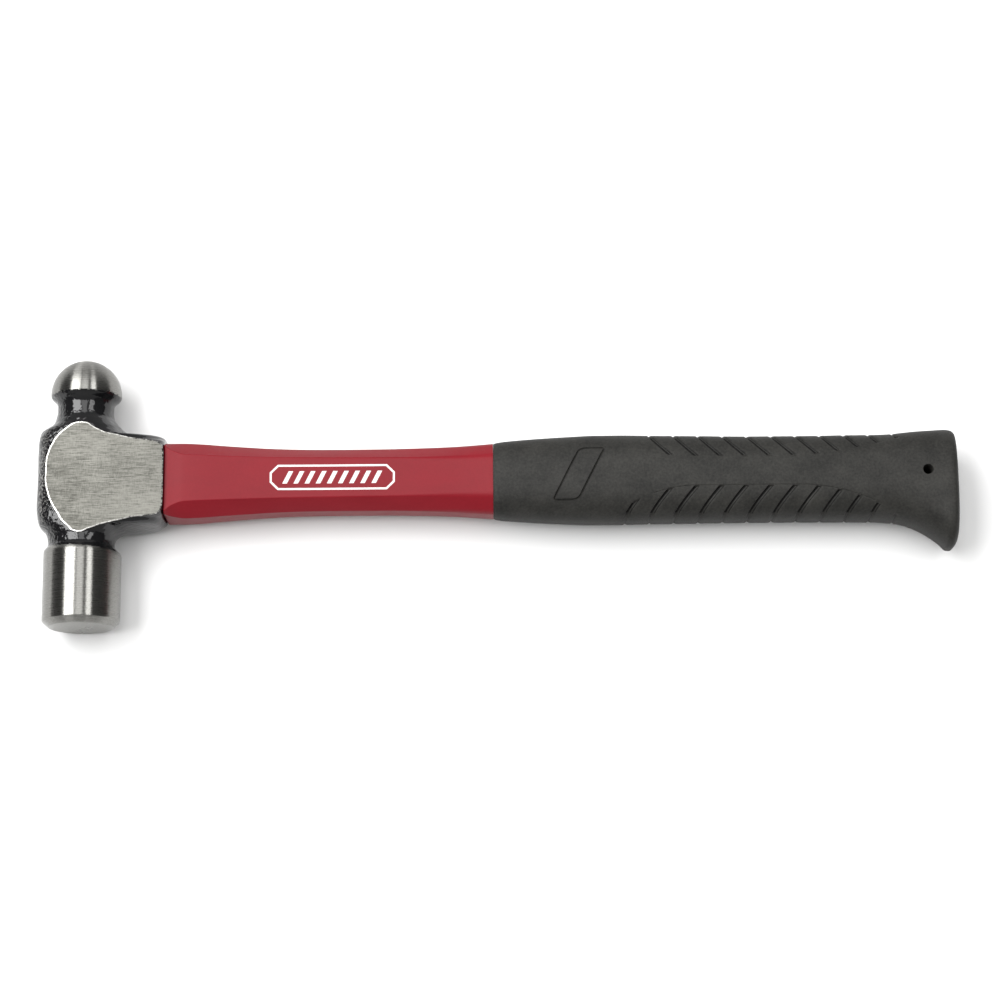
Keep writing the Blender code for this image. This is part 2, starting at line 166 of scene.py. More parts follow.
# distance from the head axis, reach up, reach down, half thickness
GRIP_SECTIONS = [
    (GRIP_START, 0.01405, 0.01405, 0.01070),
    (0.1564, 0.01440, 0.01445, 0.01105),
    (0.1590, 0.01482, 0.01490, 0.01140),
    (0.1640, 0.01530, 0.01530, 0.01180),
    (0.1710, 0.01580, 0.01580, 0.01225),
    (0.1780, 0.01620, 0.01620, 0.01260),
    (0.1850, 0.01655, 0.01655, 0.01290),
    (0.1930, 0.01690, 0.01680, 0.01315),
    (0.2010, 0.01695, 0.01680, 0.01325),
    (0.2150, 0.01670, 0.01660, 0.01330),
    (0.2340, 0.01640, 0.01650, 0.01330),
    (0.2530, 0.01610, 0.01635, 0.01330),
    (0.2760, 0.01610, 0.01640, 0.01330),
    (0.2910, 0.01625, 0.01660, 0.01335),
    (0.3000, 0.01625, 0.01665, 0.01345),
    (0.3063, 0.01645, 0.01710, 0.01365),
    (0.3110, 0.01695, 0.01800, 0.01385),
    (0.3150, 0.01735, 0.01945, 0.01405),
    (0.3190, 0.01765, 0.02155, 0.01425),
    (0.3225, 0.01785, 0.02395, 0.01445),
    (0.3250, 0.01800, 0.02600, 0.01460),
    (0.3270, 0.01810, 0.02795, POLL_RADIUS),
    (0.3283, 0.01800, 0.02805, 0.01460),
    (0.3295, 0.01770, 0.02710, 0.01420),
    (0.3302, 0.01735, 0.02610, 0.01340),
    (0.3307, 0.01680, 0.02460, 0.01220),
    (0.33095, 0.01580, 0.02220, 0.01020),
    (BUTT_END, 0.01380, 0.01640, 0.00700),
]
GRIP_SQUARENESS = 2.6
GRIP_COLUMNS = 224
HANG_X = 0.3191
HANG_RADIUS = 0.0018

GROOVE_FIRST = 0.2055
GROOVE_PITCH = 0.00924
GROOVE_COUNT = 12
GROOVE_EDGE = 0.0164
GROOVE_WIDTH = 0.00120          # half width along the handle
GROOVE_DEPTH = 0.0011
GROOVE_INNER = 0.0053           # half height of the plain strip below the middle
UPPER_INNER = 0.0064            # and above it
STRIP_WAIST = (0.233, 0.270)    # where the strip is narrowest
GROOVE_FADE = (0.0143, 0.0162)  # heights where a groove gives way to an edge notch
NOTCH_DEPTH = 0.45              # as a share of the groove's depth
NOTCH_HALF = 0.00075


# --- small tools -------------------------------------------------------------
def monotone(path, values, at):
    """Monotone cubic through rows of values, read at new distances."""
    path, values, at = (np.asarray(a, float) for a in (path, values, at))
    step = np.diff(path)[:, None]
    slope = np.diff(values, axis=0) / step
    tangent = np.zeros_like(values)
    tangent[0], tangent[-1] = slope[0], slope[-1]
    before, after = slope[:-1], slope[1:]
    same = before * after > 0
    w1, w2 = 2 * step[1:] + step[:-1], step[1:] + 2 * step[:-1]
    with np.errstate(divide="ignore", invalid="ignore"):
        mean = (w1 + w2) / (w1 / before + w2 / after)
    tangent[1:-1] = np.where(same, mean, 0.0)
    k = np.clip(np.searchsorted(path, at, side="right") - 1, 0, len(path) - 2)
    h = step[k]
    t = ((at - path[k]) / h[:, 0])[:, None]
    return ((1 + 2 * t) * (1 - t) ** 2 * values[k] + t * (1 - t) ** 2 * h * tangent[k]
            + t * t * (3 - 2 * t) * values[k + 1] + t * t * (t - 1) * h * tangent[k + 1])


def refine(table, columns, spacing):
    """Rows between those of a table, evenly spaced along the named columns."""
    table = np.array(table, float)
    steps = np.linalg.norm(np.diff(table[:, columns], axis=0), axis=1)
    path = np.concatenate([[0.0], np.cumsum(steps)])
    at = [0.0]
    for low, high in zip(path, path[1:]):
        pieces = max(1, int(math.ceil((high - low) / spacing)))
        at.extend(low + (high - low) * (i + 1) / pieces for i in range(pieces))
    return monotone(path, table, np.array(at))


def smoothstep(low, high, value):
    t = np.clip((value - low) / (high - low), 0.0, 1.0)
    return t * t * (3 - 2 * t)


def signed_power(value, power):
    return np.sign(value) * np.abs(value) ** power


def unit(rows):
    """Vectors scaled to length 1."""
    return rows / np.linalg.norm(rows, axis=-1, keepdims=True)


def skin(rings, start_pole=None, end_pole=None):
    """Vertices and faces of a body through equal rings, closed by poles or flats."""
    rings = np.asarray(rings, float)
    rows, columns = rings.shape[:2]
    verts = [tuple(v) for v in rings.reshape(-1, 3)]
    faces = []
    for r in range(rows - 1):
        a, b = r * columns, (r + 1) * columns
        for c in range(columns):
            d = (c + 1) % columns
            faces.append((a + c, a + d, b + d, b + c))
    last = (rows - 1) * columns
    if start_pole is None:
        faces.append(tuple(reversed(range(columns))))
    else:
        pole = len(verts)
        verts.append(tuple(start_pole))
        faces.extend((pole, (c + 1) % columns, c) for c in range(columns))
    if end_pole is None:
        faces.append(tuple(range(last, last + columns)))
    else:
        pole = len(verts)
        verts.append(tuple(end_pole))
        faces.extend((pole, last + c, last + (c + 1) % columns) for c in range(columns))
    return verts, faces


def closed_skin(rings):
    """Vertices and faces of a body whose last ring joins its first."""
    verts, faces = skin(rings)
    columns = len(rings[0])
    last = (len(rings) - 1) * columns
    faces = faces[:-2]           # without the two flat ends
    for c in range(columns):
        d = (c + 1) % columns
        faces.append((last + c, last + d, d, c))
    return verts, faces


def new_mesh(name, verts, faces):
    mesh = bpy.data.meshes.new(name)
    mesh.from_pydata(verts, [], faces)
    bm = bmesh.new()
    bm.from_mesh(mesh)
    bmesh.ops.recalc_face_normals(bm, faces=bm.faces)
    bm.to_mesh(mesh)
    bm.free()
    return mesh


def link_object(name, data):
    obj = bpy.data.objects.new(name, data)
    bpy.context.scene.collection.objects.link(obj)
    return obj


def new_object(name, verts, faces, materials=()):
    """A mesh object whose own origin is where the two axes cross."""
    obj = link_object(name, new_mesh(name, verts, faces))
    obj.location = ORIGIN
    for mat in materials:
        obj.data.materials.append(mat)
    return obj


def shade(obj, angle):
    """Smooth shading, with edges steeper than the angle kept sharp."""
    obj.data.shade_smooth()
    obj.data.set_sharp_from_angle(angle=math.radians(angle))


def carve(obj, cutters):
    """Cut closed shapes out of an object and keep only the result."""
    for tool in cutters:
        mod = obj.modifiers.new("carve", "BOOLEAN")
        mod.operation, mod.solver, mod.object = "DIFFERENCE", "EXACT", tool
    graph = bpy.context.evaluated_depsgraph_get()
    mesh = bpy.data.meshes.new_from_object(obj.evaluated_get(graph))
    obj.modifiers.clear()
    old, obj.data = obj.data, mesh
    bpy.data.meshes.remove(old)
    for tool in cutters:
        bpy.data.objects.remove(tool)


def full_turn(columns):
    return np.linspace(0, 2 * np.pi, columns, endpoint=False)


def oval_rings(stations, columns):
    """Rings of ovals across X: each station is x, half height, half width."""
    turn = full_turn(columns)
    return [np.stack([np.full(columns, x), a * np.cos(turn), b * np.sin(turn)], 1)
            for x, a, b in stations]


def piece(obj, node):
    """Put a finished piece into the frame, in place of its CAD node."""
    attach(obj, "root")
    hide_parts(node)


# --- materials ---------------------------------------------------------------
class Shader:
    """A Principled material and short ways to wire procedural nodes into it."""

    def __init__(self, name, colour, roughness, metallic=0.0, specular=0.5):
        self.mat = bpy.data.materials.new(name)
        self.mat.use_nodes = True
        self.tree = self.mat.node_tree
        self.bsdf = self.tree.nodes["Principled BSDF"]
        self.set("Base Color", (*colour, 1.0))
        self.set("Roughness", roughness)
        self.set("Metallic", metallic)
        self.set("Specular IOR Level", specular)
        self.mat.diffuse_color = (*colour, 1.0)
        coords = self.tree.nodes.new("ShaderNodeTexCoord")
        scale = self.tree.nodes.new("ShaderNodeVectorMath")
        scale.operation = "SCALE"
        scale.inputs["Scale"].default_value = 1000.0
        self.tree.links.new(coords.outputs["Object"], scale.inputs[0])
        self.mm = scale.outputs[0]     # position in millimetres

    def set(self, socket, value):
        self.bsdf.inputs[socket].default_value = value

    def link(self, output, socket):
        self.tree.links.new(output, self.bsdf.inputs[socket])

    def wire(self, kind, inputs, **settings):
        node = self.tree.nodes.new(kind)
        for key, value in settings.items():
            setattr(node, key, value)
        for key, value in inputs.items():
            if isinstance(value, bpy.types.NodeSocket):
                self.tree.links.new(value, node.inputs[key])
            else:
                node.inputs[key].default_value = value
        return node

    def stretch(self, x=1.0, y=1.0, z=1.0, offset=(0, 0, 0)):
        node = self.wire("ShaderNodeMapping", {"Vector": self.mm, "Scale": (x, y, z),
                                               "Location": offset})
        return node.outputs[0]

    def noise(self, vector, scale, detail=3.0, rough=0.55):
        node = self.wire("ShaderNodeTexNoise", {"Vector": vector, "Scale": scale,
                                                "Detail": detail, "Roughness": rough})
        return node.outputs["Fac"]

    def cells(self, vector, scale, feature="F1"):
        node = self.wire("ShaderNodeTexVoronoi", {"Vector": vector, "Scale": scale},
                         feature=feature)
        return node.outputs["Distance"]

    def ramp(self, value, low, high, start=0.0, end=1.0, smooth=False):
        node = self.wire("ShaderNodeMapRange", {"Value": value, "From Min": low,
                                                "From Max": high, "To Min": start,
                                                "To Max": end},
                         interpolation_type="SMOOTHSTEP" if smooth else "LINEAR")
        return node.outputs[0]

    def math(self, operation, a, b=0.0):
        return self.wire("ShaderNodeMath", {0: a, 1: b}, operation=operation).outputs[0]

    def blend(self, a, share_a, b, share_b):
        """Weighted sum of two values."""
        return self.math("ADD", self.math("MULTIPLY", a, share_a),
                         self.math("MULTIPLY", b, share_b))

    def axis(self, name):
        return self.wire("ShaderNodeSeparateXYZ", {"Vector": self.mm}).outputs[name]

    def mix(self, factor, a, b):
        node = self.tree.nodes.new("ShaderNodeMix")
        node.data_type = "RGBA"
        for key, value in ((0, factor), (6, a), (7, b)):
            if isinstance(value, bpy.types.NodeSocket):
                self.tree.links.new(value, node.inputs[key])
            elif key == 0:
                node.inputs[key].default_value = value
            else:
                node.inputs[key].default_value = (*value, 1.0)
        return node.outputs[2]

    def colour(self, factor, a, b):
        self.link(self.mix(factor, a, b), "Base Color")

    def bump(self, height, distance, strength=1.0, normal=None):
        """Bump with its height in millimetres."""
        inputs = {"Height": height, "Distance": distance / 1000, "Strength": strength}
        if normal is not None:
            inputs["Normal"] = normal
        return self.wire("ShaderNodeBump", inputs).outputs[0]


def across_scratches(s, amount):
    """Scratches lie square to the head's axis, so highlights run along it."""
    s.set("Anisotropic", amount)
    axis = s.wire("ShaderNodeCombineXYZ", {"X": 0.0, "Y": 1.0, "Z": 0.0})
    s.link(axis.outputs[0], "Tangent")


def polished_steel():
    """Turned and polished ball and poll: fine rings round the head's axis."""
    s = Shader("polished_steel", (0.36, 0.355, 0.335), 0.40, metallic=1.0)
    across_scratches(s, 1.0)
    rings = s.noise(s.stretch(0.12, 6.0, 0.12), 1.0, 4.0, 0.7)
    fine = s.noise(s.stretch(1.0, 2.2, 1.0), 1.3, 3.0, 0.7)
    s.link(s.ramp(rings, 0.3, 0.7, 0.25, 0.33), "Roughness")
    tone = s.blend(rings, 0.35, fine, 0.65)
    s.colour(s.ramp(tone, 0.38, 0.62), (0.172, 0.170, 0.159), (0.252, 0.249, 0.236))
    s.link(s.bump(fine, 0.013, 1.0, s.bump(rings, 0.003, 0.6)), "Normal")
    return s.mat


def ground_edge():
    """Narrow bevel that the belt leaves round the cheek: painted highlight at the rear,
    painted shade toward the handle.
    """
    s = Shader("ground_edge", (0.62, 0.61, 0.58), 0.30, metallic=1.0)
    rough = s.noise(s.stretch(), 0.9, 3.0, 0.65)
    # painted highlight on the rear of the bevel, turning to painted shade toward the
    # handle, broken up by noise
    painted_shade_front = s.ramp(s.axis("X"), 0.0, 26.0, 0.0, 0.62)
    painted_rim_light = s.math("SUBTRACT", s.ramp(rough, 0.35, 0.60, 0.45, 1.0), painted_shade_front)
    s.colour(painted_rim_light, (0.012, 0.012, 0.011), (0.60, 0.59, 0.56))
    s.link(s.ramp(s.axis("X"), 0.0, 24.0, 0.30, 0.60), "Roughness")
    s.link(s.bump(rough, 0.10, 0.9), "Normal")
    return s.mat


def brushed_cheek():
    """Belt-ground cheek: scratches along the handle, some deeper than others."""
    s = Shader("brushed_cheek", (0.33, 0.325, 0.30), 0.5, metallic=1.0)
    across_scratches(s, 0.35)
    fine = s.noise(s.stretch(0.20, 3.6, 1.0), 1.0, 5.0, 0.8)
    coarse = s.noise(s.stretch(0.10, 0.9, 1.0, (7.0, 3.0, 0.0)), 1.0, 4.0, 0.75)
    cross = s.noise(s.stretch(2.2, 0.5, 1.0, (1.0, 9.0, 0.0)), 1.0, 3.0, 0.7)
    patch = s.noise(s.stretch(0.05, 0.09, 0.05), 1.0, 2.0)
    streaks = s.blend(fine, 0.84, coarse, 0.16)
    mixed = s.blend(streaks, 0.72, cross, 0.14)
    # painted light: the cheek's colour lightens toward the handle side
    streaks_and_painted_light = s.math("ADD", mixed, s.ramp(s.axis("X"), -12.0, 31.0, 0.0, 0.042))
    tone = s.math("ADD", streaks_and_painted_light, s.math("MULTIPLY", patch, 0.14))
    s.colour(s.ramp(tone, 0.43, 0.59), (0.063, 0.062, 0.054), (0.285, 0.281, 0.255))
    s.link(s.ramp(streaks, 0.35, 0.65, 0.60, 0.76), "Roughness")
    s.link(s.bump(streaks, 0.05, 0.8), "Normal")
    return s.mat


def black_lacquer():
    """Glossy lacquer over a forged skin, chipped at the rear corners of the eye."""
    s = Shader("black_lacquer", (0.005, 0.005, 0.0055), 0.1, specular=0.42)
    skin_noise = s.noise(s.stretch(), 0.50, 1.5, 0.5)
    rear = s.math("MULTIPLY", s.ramp(s.axis("X"), -12.0, -14.5),
                  s.ramp(s.math("ABSOLUTE", s.axis("Z")), 7.0, 11.0))
    fleck = s.noise(s.stretch(offset=(2.0, 5.0, 1.0)), 1.2, 3.0, 0.6)
    chips = s.math("MULTIPLY", s.ramp(fleck, 0.54, 0.59), rear)
    s.colour(chips, (0.005, 0.005, 0.0055), (0.30, 0.295, 0.28))
    s.link(s.math("MULTIPLY", chips, 0.8), "Metallic")
    s.link(s.math("ADD", s.ramp(skin_noise, 0.3, 0.7, 0.05, 0.11),
                  s.math("MULTIPLY", chips, 0.2)), "Roughness")
    pits = s.noise(s.stretch(offset=(4.0, 2.0, 7.0)), 0.85, 1.5, 0.5)
    rough_rear = s.math("MULTIPLY", pits, s.ramp(s.axis("X"), -2.0, -12.0, 0.12, 0.9))
    skin_bump = s.bump(skin_noise, 0.14, 1.0)
    s.link(s.bump(rough_rear, 0.50, 1.0, skin_bump), "Normal")
    return s.mat


def jacket_plastic():
    """Satin red moulding with a faint eroded texture."""
    s = Shader("jacket_plastic", (0.30, 0.012, 0.022), 0.40, specular=0.16)
    cloud = s.noise(s.stretch(0.05, 0.14, 0.14), 1.0, 3.0)
    grain = s.noise(s.stretch(), 3.2, 2.0, 0.6)
    speck = s.noise(s.stretch(offset=(3.0, 1.0, 2.0)), 1.3, 2.0, 0.6)
    tone = s.blend(cloud, 0.5, speck, 0.5)
    s.colour(s.ramp(tone, 0.32, 0.68), (0.140, 0.0045, 0.0093), (0.166, 0.0057, 0.0114))
    s.link(s.ramp(cloud, 0.3, 0.7, 0.36, 0.46), "Roughness")
    s.link(s.bump(grain, 0.014, 0.8), "Normal")
    return s.mat


def grip_rubber():
    """Dark moulded rubber with a fine leathery grain."""
    s = Shader("grip_rubber", (0.03, 0.03, 0.029), 0.6, specular=0.20)
    cloud = s.noise(s.stretch(0.09, 0.12, 0.12), 1.0, 3.0)
    cells = s.cells(s.stretch(), 2.4, "SMOOTH_F1")
    grain = s.noise(s.stretch(), 5.0, 2.0, 0.6)
    height = s.blend(cells, 0.6, grain, 0.5)
    speck = s.noise(s.stretch(offset=(3.0, 1.0, 2.0)), 1.1, 3.0, 0.65)
    tone = s.blend(cloud, 0.45, speck, 0.55)
    s.colour(s.ramp(tone, 0.36, 0.64), (0.0072, 0.0071, 0.0063), (0.0215, 0.0208, 0.0186))
    s.link(s.ramp(grain, 0.3, 0.7, 0.52, 0.68), "Roughness")
    s.link(s.bump(height, 0.05, 0.9), "Normal")
    return s.mat


def groove_painted_shade():
    """Smooth, darker rubber at the feet of the groove walls: painted shade where the
    grooves lie in shadow.
    """
    s = Shader("groove_painted_shade", (0.005, 0.005, 0.0047), 0.7, specular=0.08)
    grain = s.noise(s.stretch(), 1.4, 3.0, 0.6)
    s.colour(s.ramp(grain, 0.35, 0.65), (0.002, 0.002, 0.002), (0.009, 0.009, 0.0085))
    return s.mat


def eye_wall():
    """Bare forged wall of the eye."""
    s = Shader("eye_wall", (0.05, 0.048, 0.045), 0.6, metallic=0.4)
    rough = s.noise(s.stretch(0.4, 1, 1), 1.4, 4.0, 0.65)
    s.link(s.bump(rough, 0.12), "Normal")
    return s.mat


def epoxy_resin():
    """Dark cured resin with small bubbles in its surface."""
    s = Shader("epoxy_resin", (0.035, 0.028, 0.02), 0.25)
    bubbles = s.ramp(s.cells(s.stretch(), 0.9), 0.12, 0.22, smooth=True)
    cloud = s.noise(s.stretch(), 0.35, 3.0)
    s.colour(s.ramp(cloud, 0.3, 0.7), (0.028, 0.022, 0.016), (0.055, 0.043, 0.028))
    s.link(s.bump(bubbles, 0.12), "Normal")
    return s.mat


def fibre_end():
    """Sawn end of a glass rod: bundles of fibre ends in pale resin."""
    s = Shader("fibre_end", (0.5, 0.45, 0.3), 0.5)
    bundles = s.noise(s.stretch(0.05, 1.0, 1.0), 1.1, 4.0, 0.7)
    dots = s.cells(s.stretch(0.02), 4.0)
    tone = s.blend(bundles, 0.6, dots, 0.5)
    s.colour(s.ramp(tone, 0.3, 0.8), (0.60, 0.55, 0.38), (0.34, 0.28, 0.15))
    s.link(s.bump(dots, 0.05), "Normal")
    return s.mat


def badge_ink():
    """Slightly worn white print."""
    s = Shader("badge_ink", (0.80, 0.78, 0.77), 0.45)
    streaks_and_painted_light = s.noise(s.stretch(), 1.2, 3.0)
    s.colour(s.ramp(streaks_and_painted_light, 0.35, 0.7), (0.62, 0.60, 0.59), (0.52, 0.49, 0.485))
    return s.mat


# --- head --------------------------------------------------------------------
def round_row(height, radius):
    """A row of the head's table where the section is a plain circle."""
    return (height, *(radius,) * 4, 2, 2)


def head_rows():
    """Section rows from just below the ball's pole to near the rim of the face."""
    rows = []
    for i in range(1, 46):
        angle = math.radians(2 * i)
        rows.append(round_row(BALL_CENTRE + BALL_RADIUS * math.cos(angle),
                              BALL_RADIUS * math.sin(angle)))
    rows.extend(refine(HEAD_SECTIONS, (0, 1, 2), HEAD_STEP))
    poll_start = HEAD_SECTIONS[-1][0]
    rows.extend(round_row(poll_start - 0.0020 * i, POLL_RADIUS) for i in range(1, 13))
    return rows


def poll_end_rows():
    """Rounded edge, bevel and flat of the striking face, as height and radius."""
    corner = (-(FACE_DROP - FACE_BEVEL), POLL_RADIUS)
    inner = (-FACE_DROP, FACE_RADIUS)
    rows = [(corner[0] + 0.0009, POLL_RADIUS)]
    lean = math.atan2(POLL_RADIUS - FACE_RADIUS, FACE_BEVEL)
    radius = 0.0006              # outer edge
    reach = radius * math.tan(lean / 2)
    for i in range(7):
        turn = lean * i / 6
        rows.append((corner[0] + reach - radius * math.sin(turn),
                     POLL_RADIUS - radius * (1 - math.cos(turn))))
    rest = math.pi / 2 - lean
    radius = 0.0016              # edge of the flat
    reach = radius * math.tan(rest / 2)
    start = (inner[0] + reach * math.cos(lean), inner[1] + reach * math.sin(lean))
    for i in range(5):
        turn = lean + rest * i / 4
        rows.append((start[0] - radius * (math.sin(turn) - math.sin(lean)),
                     start[1] - radius * (math.cos(lean) - math.cos(turn))))
    rows.extend((-FACE_DROP, radius) for radius in (0.0095, 0.0050))
    return rows


def head_angles():
    """Column angles, closer together over the corners of the socket."""
    turn = np.linspace(0, 2 * np.pi, 4001)
    offset = np.abs((turn + np.pi) % (2 * np.pi) - np.pi)
    weight = 1 + 1.5 * np.exp(-((offset - 0.42) / 0.34) ** 2)
    total = np.concatenate([[0], np.cumsum((weight[1:] + weight[:-1]) / 2)])
    return np.interp(np.linspace(0, total[-1], HEAD_COLUMNS, endpoint=False), total, turn)


def head_rings():
    """Rings of the whole head; each half of a section has its own squareness."""
    turn = head_angles()
    c, s = np.cos(turn), np.sin(turn)
    rings = []
    for height, rear, front, half, rear_half, front_square, rear_square in head_rows():
        reach = np.where(c > 0, front, rear)
        power = np.where(c > 0, front_square, rear_square)
        thick = rear_half + (half - rear_half) * smoothstep(0.0, 0.35, c)
        rho = (np.abs(c / reach) ** power + np.abs(s / thick) ** power) ** (-1 / power)
        x = np.maximum(rho * c, head_low.x - ORIGIN.x)
        rings.append(np.stack([x, np.full(len(c), height), rho * s], 1))
    for height, radius in poll_end_rows():
        rings.append(np.stack([radius * c, np.full(len(c), height), radius * s], 1))
    return rings


def lacquered(point):
    """True between the ball's equator and the dipped line above the poll."""
    wave = 0.00012 * math.sin(1900 * point.x) + 0.0001 * math.sin(4100 * point.x + 1)
    low = -0.0255 - 0.078 * point.x - 0.045 * abs(point.z) + wave
    return low < point.y < POLISH_TOP + wave


def ordered_rim(edges):
    """The vertices of a closed chain of edges, in order."""
    links = {}
    for edge in edges:
        for a, b in (edge.verts, reversed(edge.verts)):
            links.setdefault(a, []).append(b)
    first = next(iter(links))
    chain, before = [first], None
    while True:
        ahead = [v for v in links[chain[-1]] if v is not before]
        before = chain[-1]
        if not ahead or ahead[0] is first:
            return chain
        chain.append(ahead[0])


def grind_cheek(bm, side):
    """Cut one cheek flat and leave a narrow bevel round the ground edge."""
    low, high = CHEEK_REGION
    region = []
    for face in bm.faces:
        middle = face.calc_center_median()
        if low < middle.y < high and middle.z * side > 0:
            region.append(face)
    # dictionaries keep their order, so the mesh is the same in every run
    edges = dict.fromkeys(e for f in region for e in f.edges)
    verts = dict.fromkeys(v for f in region for v in f.verts)
    level = side * (CHEEK_HALF - CHEEK_RIM_DROP)
    bmesh.ops.bisect_plane(bm, geom=[*region, *edges, *verts], dist=1e-7,
                           plane_co=(0, 0, level), plane_no=(0, 0, side),
                           clear_outer=True)
    rim = dict.fromkeys(v for e in bm.edges if e.is_boundary for v in e.verts)
    bmesh.ops.remove_doubles(bm, verts=list(rim), dist=CHEEK_RIM_MERGE)
    chain = ordered_rim([e for e in bm.edges if e.is_boundary])
    plan = np.array([(v.co.x, v.co.y) for v in chain])
    ahead, behind = np.roll(plan, -1, 0), np.roll(plan, 1, 0)
    area = np.sum(plan[:, 0] * ahead[:, 1] - ahead[:, 0] * plan[:, 1])
    along = ahead - behind
    inward = unit(np.stack([-along[:, 1], along[:, 0]], 1) * np.sign(area))
    for _ in range(6):           # smoothed, so the bevel's inner edge stays even
        inward = unit(inward * 2 + np.roll(inward, 1, 0) + np.roll(inward, -1, 0))
    flat = [bm.verts.new((x, y, side * CHEEK_HALF))
            for x, y in plan + inward * CHEEK_RIM_WIDTH]
    count = len(chain)
    for i in range(count):
        j = (i + 1) % count
        bevel = bm.faces.new((chain[i], chain[j], flat[j], flat[i]))
        bevel.material_index = GROUND_EDGE
    bm.faces.new(flat).material_index = GROUND


def eye_half(x):
    """Half height of the conical eye."""
    slope = (EYE_FRONT_HALF - EYE_REAR_HALF) / (SOCKET_END + HEAD_BACK)
    return EYE_REAR_HALF + slope * (x + HEAD_BACK)


def build_head():
    materials = [make() for make in (polished_steel, black_lacquer, brushed_cheek,
                                     eye_wall, ground_edge)]
    head = new_object("head_forging", *skin(head_rings(), (0, BALL_TOP, 0),
                                            (0, -FACE_DROP, 0)), materials)
    bm = bmesh.new()
    bm.from_mesh(head.data)
    for face in bm.faces:
        coated = lacquered(face.calc_center_median())
        face.material_index = LACQUERED if coated else POLISHED
    for side in (1, -1):
        grind_cheek(bm, side)
    bmesh.ops.recalc_face_normals(bm, faces=bm.faces)
    bm.to_mesh(head.data)
    bm.free()
    stations = [(x, eye_half(x), eye_half(x) / EYE_ASPECT)
                for x in (-0.024, -0.010, 0.005, 0.020, 0.036)]
    tool = new_object("eye_tool", *skin(oval_rings(stations, 96)), materials)
    for poly in tool.data.polygons:
        poly.material_index = EYE_WALL
    carve(head, [tool])
    for poly in head.data.polygons:
        poly.use_smooth = poly.material_index not in (GROUND, GROUND_EDGE)
    head.data.set_sharp_from_angle(angle=math.radians(28))
    piece(head, "hammer_head")


# --- handle ------------------------------------------------------------------
def rounded_octagon(half_y, half_z, broad, narrow, radius, steps=5):
    """Points round an eight-sided section whose corners are rounded."""
    corners = np.array([(half_y, narrow), (broad, half_z), (-broad, half_z),
                        (-half_y, narrow), (-half_y, -narrow), (-broad, -half_z),
                        (broad, -half_z), (half_y, -narrow)])
    points = []
    for i in range(8):
        corner = corners[i]
        back, ahead = corners[i - 1] - corner, corners[(i + 1) % 8] - corner
        back_length, ahead_length = np.linalg.norm(back), np.linalg.norm(ahead)
        back, ahead = back / back_length, ahead / ahead_length
        inside = math.acos(np.clip(back @ ahead, -1, 1))
        reach = min(radius / math.tan(inside / 2), 0.46 * min(back_length, ahead_length))
        for k in range(steps + 1):
            t = k / steps
            points.append(corner + back * reach * (1 - t) ** 2 + ahead * reach * t ** 2)
    return points


def jacket_at(x):
    """Rows of the jacket's table at each x, without their distances."""
    table = np.array(JACKET_SECTIONS)
    return monotone(table[:, 0], table[:, 1:], np.atleast_1d(x))


def core_bore(start, end):
    """Cutter for the room that the core needs."""
    half = CORE_HALF + GAP
    rings = oval_rings([(x, half, half / CORE_ASPECT) for x in (start, end)], 64)
    return new_object("bore_tool", *skin(rings))


def build_jacket():
    rings = []
    rows = refine(JACKET_SECTIONS, (0,), JACKET_STEP)
    for x, half_y, half_z, broad, narrow in rows:
        # the flats' edges are crisp at the head and fade toward the grip
        soft = (0.0005 + 0.0035 * smoothstep(0.118, 0.156, x)
                + 0.0006 * smoothstep(0.06, 0.11, x))
        ring = rounded_octagon(half_y, half_z, broad, narrow, soft)
        rings.append([(x, y, z) for y, z in ring])
    first, last = rows[0][0], rows[-1][0] + 0.00025
    rings[-1] = [(last, y, z) for _, y, z in rings[-1]]
    # a small turned-in edge at the mouth, against the head
    mouth = [(first - 0.00022, y * 0.985, z * 0.98) for _, y, z in rings[0]]
    rings[0] = [(first + 0.00018, y, z) for _, y, z in rings[0]]
    spigot = rounded_octagon(*SPIGOT_HALF, *SPIGOT_FLATS, 0.0006)
    rings = [mouth, *rings, [(last, y, z) for y, z in spigot],
             [(SPIGOT_END, y, z) for y, z in spigot]]
    jacket = new_object("handle_jacket_shell", *skin(rings), [jacket_plastic()])
    carve(jacket, [core_bore(0.020, 0.180)])
    shade(jacket, 24)
    piece(jacket, "handle_jacket")


def build_core():
    chamfer = 0.0003
    sizes = [(CORE_START, CORE_HALF - chamfer), (CORE_START + chamfer, CORE_HALF)]
    sizes += [(x, CORE_HALF) for x in np.linspace(0, CORE_END, 12)]
    rings = oval_rings([(x, half, half / CORE_ASPECT) for x, half in sizes], 96)
    core = new_object("fibreglass_core", *skin(rings), [fibre_end()])
    shade(core, 30)
    piece(core, "handle_core")


def build_epoxy():
    """Bond around the core, with its rear surface drawn in between the walls."""
    inner = (CORE_HALF + GAP) * np.array([1, 1 / CORE_ASPECT])
    # t runs from the core's side of the bond (0) to the eye's side (1)
    stations = [(0.0, SOCKET_END), (0.5, SOCKET_END), (1.0, SOCKET_END)]
    stations += [(1.0, x) for x in np.linspace(0.025, EPOXY_START + 0.0003, 8)]
    for t in np.linspace(1.0, 0.0, 9):
        stations.append((t, EPOXY_START + 0.0009 * math.sin(math.pi * t)))
    stations += [(0.0, x) for x in np.linspace(-0.010, 0.025, 6)]
    ovals = []
    for t, x in stations:
        outer = (eye_half(x) - GAP) * np.array([1, 1 / EYE_ASPECT])
        ovals.append((x, *(inner + t * (outer - inner))))
    epoxy = new_object("eye_epoxy_fill", *closed_skin(oval_rings(ovals, 96)),
                       [epoxy_resin()])
    shade(epoxy, 35)
    piece(epoxy, "eye_epoxy")


# --- grip --------------------------------------------------------------------
GRIP_TABLE = np.array(GRIP_SECTIONS)


def grip_size(x):
    """Reach up, reach down and half thickness of the grip at each x."""
    x = np.atleast_1d(x)
    return monotone(GRIP_TABLE[:, 0], GRIP_TABLE[:, 1:], np.clip(x, GRIP_START, BUTT_END))


def groove_middle(number):
    """Where a groove crosses the grip's edge."""
    return GROOVE_FIRST + number * GROOVE_PITCH


